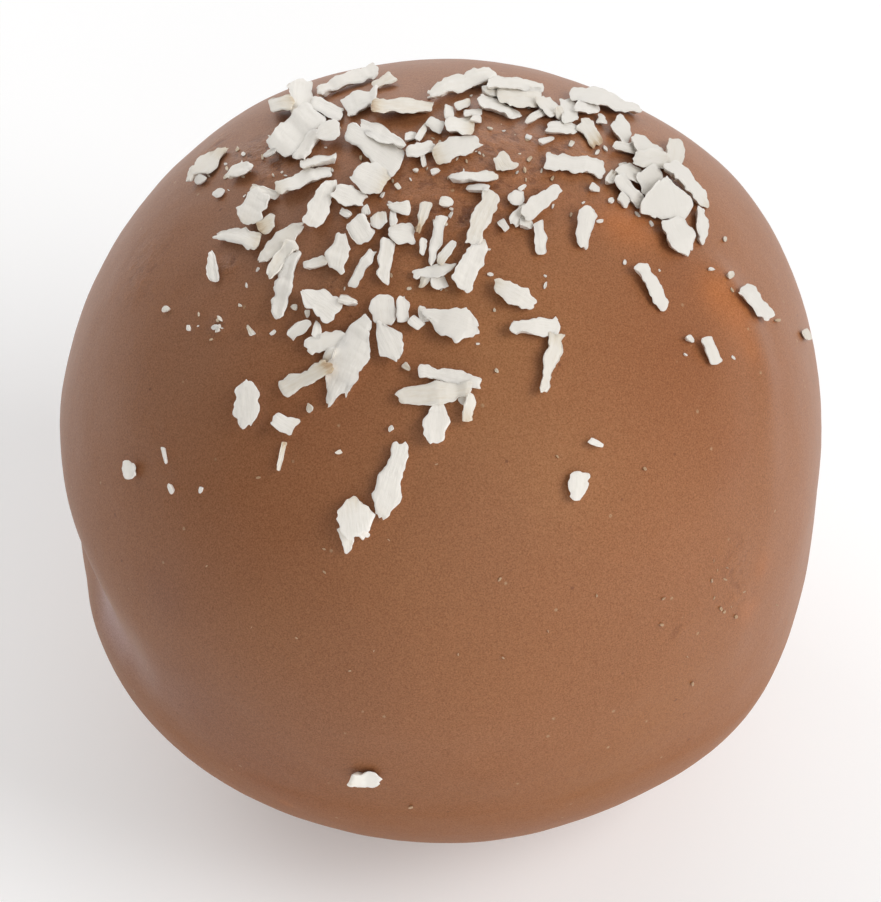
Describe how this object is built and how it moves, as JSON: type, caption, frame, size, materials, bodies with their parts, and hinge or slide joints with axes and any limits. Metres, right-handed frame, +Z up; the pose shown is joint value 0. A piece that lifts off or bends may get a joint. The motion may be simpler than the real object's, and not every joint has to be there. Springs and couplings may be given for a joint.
{
  "type": "chocolate truffle",
  "caption": "Round milk chocolate truffle sprinkled with white coconut flakes round its top, resting on a small flat foot.",
  "frame": {"origin": "middle of the flat foot that the truffle rests on", "axes": "+Z up out of the foot, the side shown in the picture faces -Y, +X to the right"},
  "size_m": [0.0276, 0.0286, 0.0275],
  "materials": {
    "milk_chocolate": "satin",
    "coconut": "matt"
  },
  "bodies": {
    "root": {"truffle": "milk_chocolate"}
  },
  "joints": []
}
